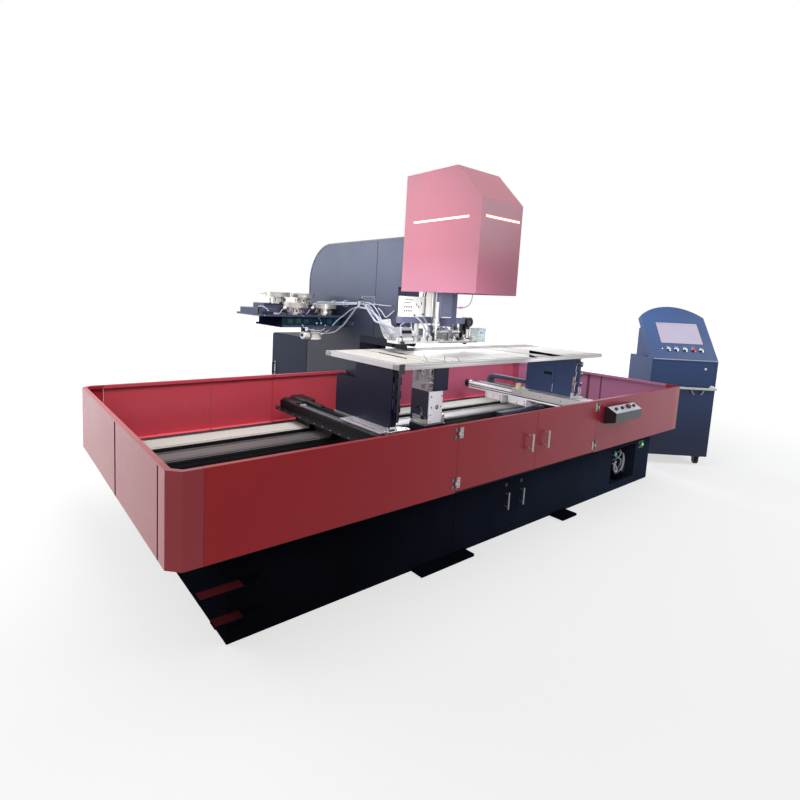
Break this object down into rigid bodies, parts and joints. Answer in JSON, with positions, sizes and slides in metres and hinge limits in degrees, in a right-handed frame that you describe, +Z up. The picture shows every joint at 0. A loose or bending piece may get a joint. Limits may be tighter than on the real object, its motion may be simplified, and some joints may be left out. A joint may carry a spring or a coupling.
{
  "type": "fastener insertion press",
  "caption": "Free-standing CNC press that sets fasteners in sheet metal: C-frame, moving table in a walled tray on a base, bowl feeders, rear cabinet and wheeled console.",
  "frame": {"origin": "on the floor, at the centre of the base's footprint, on the base's underside", "axes": "+X along the tray towards the console, +Y towards the rear, +Z up"},
  "size_m": [5.5315, 3.4305, 2.432],
  "materials": {
    "red_paint": "satin powder coat",
    "cover_red": "satin powder coat",
    "black_paint": "gloss powder coat",
    "hinge_steel": "satin",
    "grey_blue_paint": "fine-texture powder coat",
    "light_strip": "diffuse",
    "steel": "machined",
    "white_plastic": "satin",
    "black_anodised": "black anodised",
    "clear_blue": "clear, bluish",
    "white_hose": "satin",
    "aluminium": "anodised",
    "pale_board": "matt",
    "bowl_steel": "satin",
    "green_cap": "gloss",
    "black_cap": "gloss",
    "red_cap": "gloss",
    "white_metal": "satin",
    "zinc": "zinc plated",
    "black_rubber": "matt"
  },
  "bodies": {
    "machine": {"base_cabinet": "black_paint", "base_foot_plates": "black_paint", "button_box": "grey_blue_paint", "c_frame": "grey_blue_paint", "catch_box": "clear_blue", "console_cabinet": "grey_blue_paint", "console_panel": "grey_blue_paint", "die_changer": "steel", "die_column": "black_anodised", "die_side_box": "black_anodised", "feed_hoses": "white_hose", "feed_unit": "steel", "feeder_bowls": "bowl_steel", "feeder_canister": "white_plastic", "feeder_shelf": "black_anodised", "head_beam": "steel", "head_cover": "cover_red", "head_led_strips": "light_strip", "head_regulator": "black_anodised", "head_terminal_box": "white_plastic", "ram_cylinder": "steel", "rear_cabinet": "grey_blue_paint", "tray_back_wall": "red_paint", "tray_corner_posts": "red_paint", "tray_door_hinges": "hinge_steel", "tray_end_walls": "red_paint", "tray_front_wall": "red_paint", "x_rails": "aluminium"},
    "gantry": {"y_module_left": "aluminium", "y_module_right": "aluminium", "energy_chain": "black_anodised"},
    "table": {"upright_left": "black_anodised", "upright_right": "aluminium", "table_frame": "aluminium", "table_plates": "pale_board"},
    "ram": {"ram": "steel", "punch": "steel"},
    "lower_die": {"lower_die": "steel"},
    "feed_shuttle": {"feed_shuttle": "steel"},
    "tray_door_left": {"tray_door_left": "red_paint"},
    "tray_door_right": {"tray_door_right": "red_paint"},
    "base_door_left": {"base_door_left": "black_paint"},
    "base_door_right": {"base_door_right": "black_paint"},
    "rear_cabinet_door": {"rear_cabinet_door": "grey_blue_paint"},
    "box_button_start": {"box_button_start": "green_cap"},
    "box_button_reset": {"box_button_reset": "black_cap"},
    "box_stop_button": {"box_stop_button": "red_cap"},
    "box_button_clamp": {"box_button_clamp": "black_cap"},
    "console_button_1": {"console_button_1": "green_cap"},
    "console_button_2": {"console_button_2": "black_cap"},
    "console_button_3": {"console_button_3": "black_cap"},
    "console_stop_button": {"console_stop_button": "red_cap"},
    "console_button_5": {"console_button_5": "black_cap"},
    "keyboard_drawer": {"keyboard_drawer": "white_metal"},
    "castor_fork_left": {"castor_fork_left": "zinc"},
    "castor_fork_right": {"castor_fork_right": "zinc"},
    "castor_wheel_front_left": {"castor_wheel_front_left": "black_rubber"},
    "castor_wheel_front_right": {"castor_wheel_front_right": "black_rubber"},
    "castor_wheel_rear_left": {"castor_wheel_rear_left": "black_rubber"},
    "castor_wheel_rear_right": {"castor_wheel_rear_right": "black_rubber"}
  },
  "joints": [
    {"name": "gantry_x_travel", "type": "slide", "parent": "machine", "child": "gantry", "axis": [1, 0, 0], "range_m": [-1, 0.52]},
    {"name": "table_y_travel", "type": "slide", "parent": "gantry", "child": "table", "axis": [0, 1, 0], "range_m": [-0.27, 0.35]},
    {"name": "ram_stroke", "type": "slide", "parent": "machine", "child": "ram", "axis": [0, 0, 1], "range_m": [-0.095, 0]},
    {"name": "lower_die_lift", "type": "slide", "parent": "machine", "child": "lower_die", "axis": [0, 0, 1], "range_m": [0, 0.034]},
    {"name": "feed_shuttle_travel", "type": "slide", "parent": "machine", "child": "feed_shuttle", "axis": [1, 0, 0], "range_m": [0, 0.08]},
    {"name": "tray_door_left_hinge", "type": "hinge", "parent": "machine", "child": "tray_door_left", "pos_m": [-0.743, -0.957, 0.66], "axis": [0, 0, 1], "range_deg": [-110, 0]},
    {"name": "tray_door_right_hinge", "type": "hinge", "parent": "machine", "child": "tray_door_right", "pos_m": [0.775, -0.957, 0.66], "axis": [0, 0, 1], "range_deg": [0, 110]},
    {"name": "base_door_left_hinge", "type": "hinge", "parent": "machine", "child": "base_door_left", "pos_m": [-0.5995, -0.837, 0.24], "axis": [0, 0, 1], "range_deg": [-100, 0]},
    {"name": "base_door_right_hinge", "type": "hinge", "parent": "machine", "child": "base_door_right", "pos_m": [0.5495, -0.837, 0.24], "axis": [0, 0, 1], "range_deg": [0, 100]},
    {"name": "rear_cabinet_door_hinge", "type": "hinge", "parent": "machine", "child": "rear_cabinet_door", "pos_m": [-0.17, 1.638, 0.57], "axis": [0, 0, 1], "range_deg": [0, 100]},
    {"name": "box_button_start_press", "type": "slide", "parent": "machine", "child": "box_button_start", "axis": [0, -0.454, 0.891], "range_m": [-0.004, 0], "stiffness_N_per_m": 1500},
    {"name": "box_button_reset_press", "type": "slide", "parent": "machine", "child": "box_button_reset", "axis": [0, -0.454, 0.891], "range_m": [-0.004, 0], "stiffness_N_per_m": 1500},
    {"name": "box_stop_button_press", "type": "slide", "parent": "machine", "child": "box_stop_button", "axis": [0, -0.454, 0.891], "range_m": [-0.004, 0], "stiffness_N_per_m": 1500},
    {"name": "box_button_clamp_press", "type": "slide", "parent": "machine", "child": "box_button_clamp", "axis": [0, -0.454, 0.891], "range_m": [-0.004, 0], "stiffness_N_per_m": 1500},
    {"name": "console_button_1_press", "type": "slide", "parent": "machine", "child": "console_button_1", "axis": [-0.5065, -0.6037, 0.6157], "range_m": [-0.004, 0], "stiffness_N_per_m": 1500},
    {"name": "console_button_2_press", "type": "slide", "parent": "machine", "child": "console_button_2", "axis": [-0.5065, -0.6037, 0.6157], "range_m": [-0.004, 0], "stiffness_N_per_m": 1500},
    {"name": "console_button_3_press", "type": "slide", "parent": "machine", "child": "console_button_3", "axis": [-0.5065, -0.6037, 0.6157], "range_m": [-0.004, 0], "stiffness_N_per_m": 1500},
    {"name": "console_stop_button_press", "type": "slide", "parent": "machine", "child": "console_stop_button", "axis": [-0.5065, -0.6037, 0.6157], "range_m": [-0.004, 0], "stiffness_N_per_m": 1500},
    {"name": "console_button_5_press", "type": "slide", "parent": "machine", "child": "console_button_5", "axis": [-0.5065, -0.6037, 0.6157], "range_m": [-0.004, 0], "stiffness_N_per_m": 1500},
    {"name": "keyboard_drawer_slide", "type": "slide", "parent": "machine", "child": "keyboard_drawer", "axis": [-0.6428, -0.766, 0], "range_m": [0, 0.2]},
    {"name": "castor_swivel_left", "type": "hinge", "parent": "machine", "child": "castor_fork_left", "pos_m": [2.53653, -0.59661, 0.09], "axis": [0, 0, 1], "continuous": true},
    {"name": "castor_swivel_right", "type": "hinge", "parent": "machine", "child": "castor_fork_right", "pos_m": [2.93487, -0.93085, 0.09], "axis": [0, 0, 1], "continuous": true},
    {"name": "wheel_spin_front_left", "type": "hinge", "parent": "castor_fork_left", "child": "castor_wheel_front_left", "pos_m": [2.55067, -0.57975, 0.0375], "axis": [0.766, -0.6428, 0], "continuous": true},
    {"name": "wheel_spin_front_right", "type": "hinge", "parent": "castor_fork_right", "child": "castor_wheel_front_right", "pos_m": [2.94901, -0.914, 0.0375], "axis": [0.766, -0.6428, 0], "continuous": true},
    {"name": "wheel_spin_rear_left", "type": "hinge", "parent": "machine", "child": "castor_wheel_rear_left", "pos_m": [2.74865, -0.34381, 0.0375], "axis": [0.766, -0.6428, 0], "continuous": true},
    {"name": "wheel_spin_rear_right", "type": "hinge", "parent": "machine", "child": "castor_wheel_rear_right", "pos_m": [3.14699, -0.67806, 0.0375], "axis": [0.766, -0.6428, 0], "continuous": true}
  ]
}
